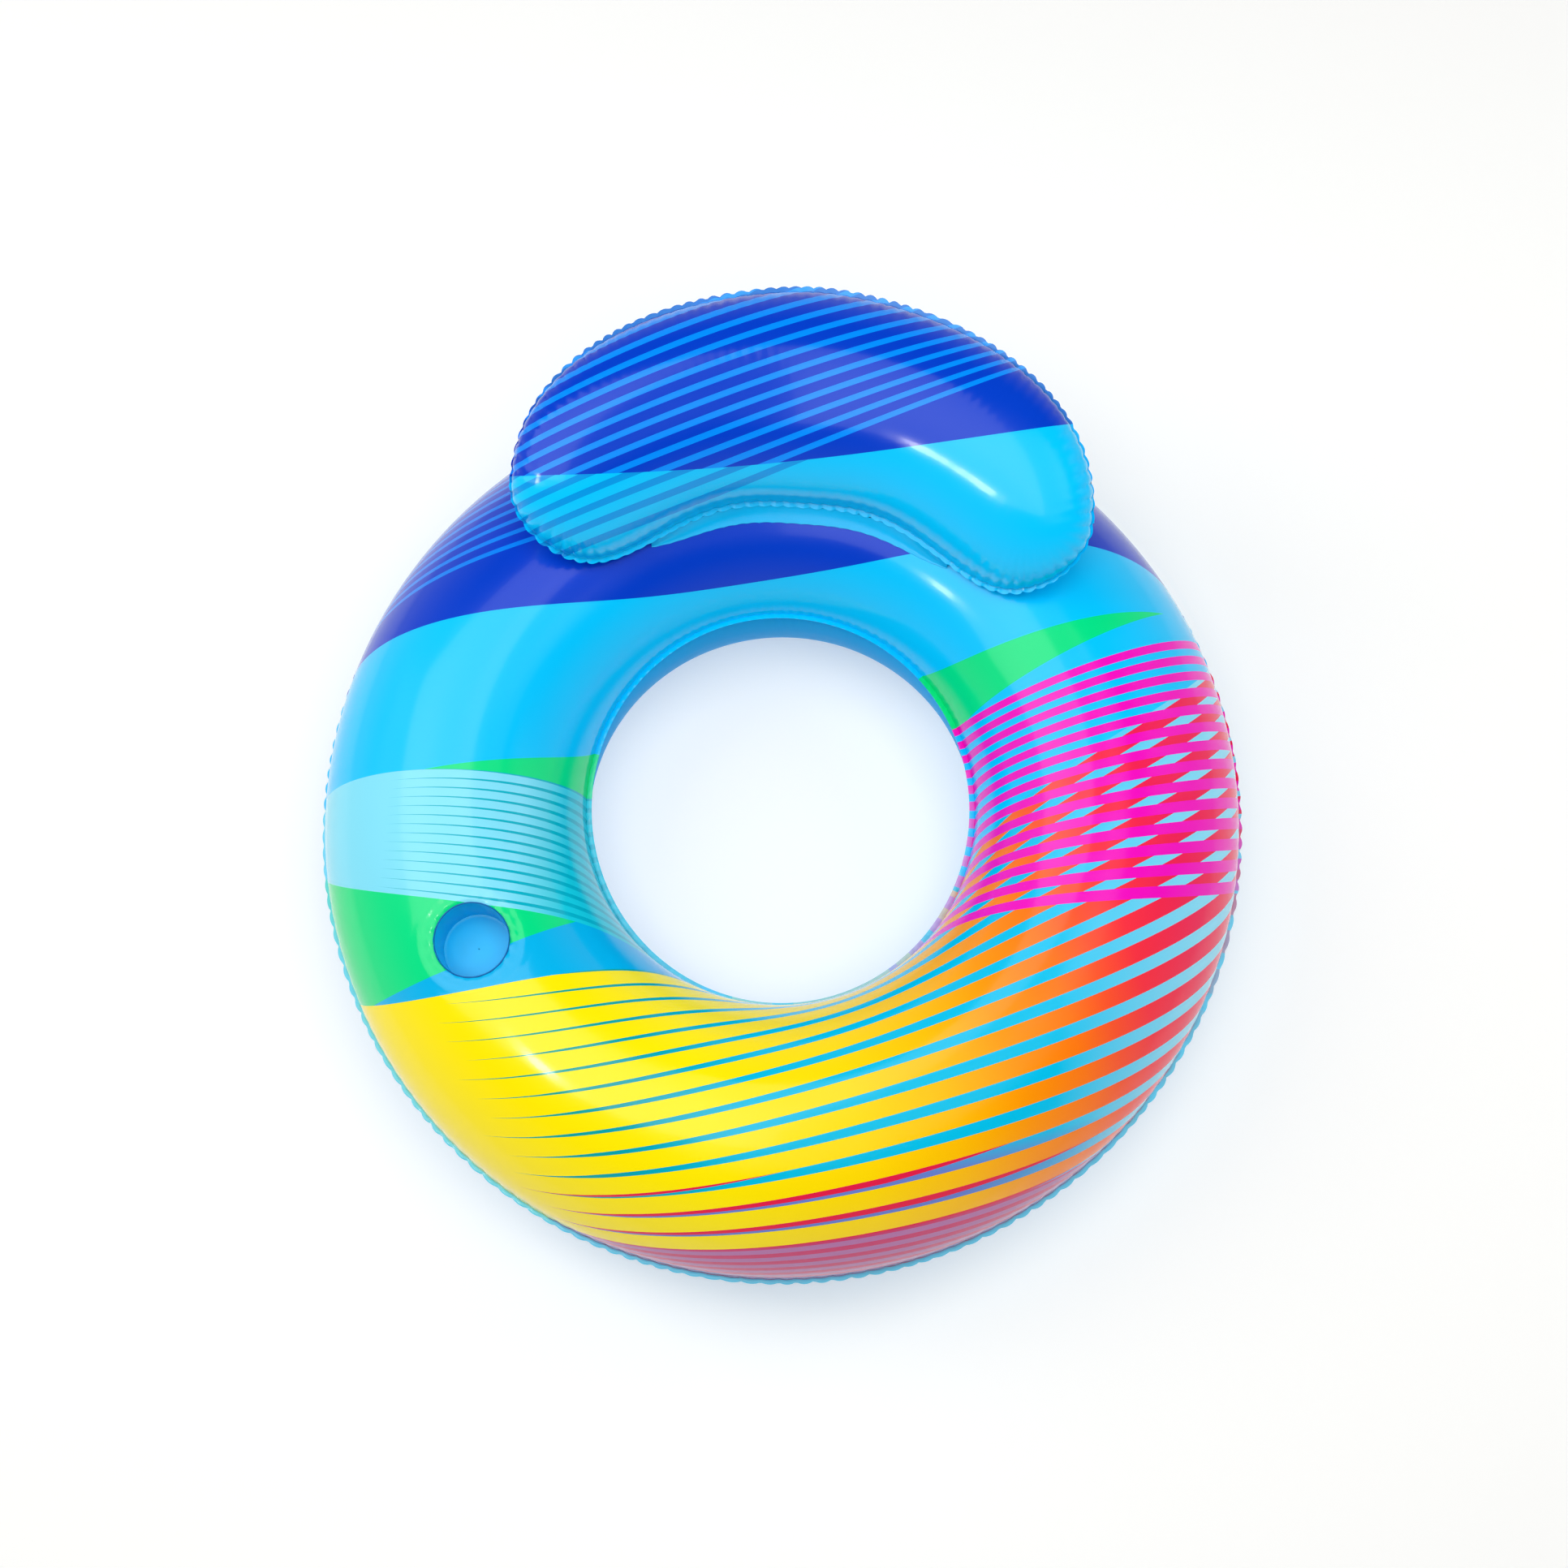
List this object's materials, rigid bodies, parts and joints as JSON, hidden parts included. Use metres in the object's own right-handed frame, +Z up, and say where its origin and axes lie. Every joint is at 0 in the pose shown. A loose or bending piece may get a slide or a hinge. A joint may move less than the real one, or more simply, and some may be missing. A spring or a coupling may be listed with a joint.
{
  "type": "inflatable swim ring with backrest",
  "caption": "Inflatable round lounge ring with a crescent backrest pillow welded on one side, a cup well in its crest and plugged air valves on two chambers.",
  "frame": {"origin": "on the floor at the centre of the seat opening, on the ring's axis", "axes": "+Z up along the ring's axis, +Y from the hole towards the backrest, +X to the right when facing the backrest"},
  "size_m": [1.186, 1.2169, 0.439],
  "materials": {
    "printed_vinyl": "glossy printed PVC film",
    "backrest_printed_vinyl": "glossy printed PVC film",
    "blue_vinyl": "glossy plain PVC film",
    "weld_vinyl": "glossy PVC film, pressed flat at the weld",
    "cup_vinyl": "glossy translucent PVC",
    "valve_vinyl": "satin moulded soft PVC, translucent"
  },
  "bodies": {
    "ring": {"ring_top_panel": "printed_vinyl", "ring_bottom_panel": "blue_vinyl", "cup_wall": "cup_vinyl", "cup_floor": "cup_vinyl", "cup_rim": "cup_vinyl", "backrest_weld_strip": "weld_vinyl", "ring_valve_flange": "valve_vinyl"},
    "backrest": {"backrest_top_panel": "backrest_printed_vinyl", "backrest_bottom_panel": "blue_vinyl", "backrest_valve_flange": "valve_vinyl"},
    "ring_valve_mouth": {"ring_valve_stem": "valve_vinyl", "ring_valve_tether": "valve_vinyl"},
    "ring_valve_stopper": {"ring_valve_plug": "valve_vinyl"},
    "ring_valve_check": {"ring_valve_flap": "valve_vinyl"},
    "backrest_valve_mouth": {"backrest_valve_stem": "valve_vinyl", "backrest_valve_tether": "valve_vinyl"},
    "backrest_valve_stopper": {"backrest_valve_plug": "valve_vinyl"},
    "backrest_valve_check": {"backrest_valve_flap": "valve_vinyl"}
  },
  "joints": [
    {"name": "backrest_tilt", "type": "hinge", "parent": "ring", "child": "backrest", "pos_m": [0, 0.318, 0.29037], "axis": [1, 0, 0], "range_deg": [0, 12]},
    {"name": "ring_valve_press", "type": "slide", "parent": "ring", "child": "ring_valve_mouth", "axis": [-0.3307, 0.5727, 0.7501], "range_m": [0, 0.01]},
    {"name": "ring_valve_plug_pull", "type": "slide", "parent": "ring_valve_mouth", "child": "ring_valve_stopper", "axis": [0.3307, -0.5727, -0.7501], "range_m": [0, 0.012]},
    {"name": "ring_valve_flap_open", "type": "hinge", "parent": "ring_valve_mouth", "child": "ring_valve_check", "pos_m": [0.27044, -0.45602, 0.04932], "axis": [-0.375, 0.6496, -0.6613], "range_deg": [0, 60]},
    {"name": "backrest_valve_press", "type": "slide", "parent": "backrest", "child": "backrest_valve_mouth", "axis": [0, -0.6687, 0.7435], "range_m": [0, 0.01]},
    {"name": "backrest_valve_plug_pull", "type": "slide", "parent": "backrest_valve_mouth", "child": "backrest_valve_stopper", "axis": [0, 0.6687, -0.7435], "range_m": [0, 0.012]},
    {"name": "backrest_valve_flap_open", "type": "hinge", "parent": "backrest_valve_mouth", "child": "backrest_valve_check", "pos_m": [0.0062, 0.58779, 0.33052], "axis": [0, 0.7435, 0.6687], "range_deg": [0, 60]}
  ]
}
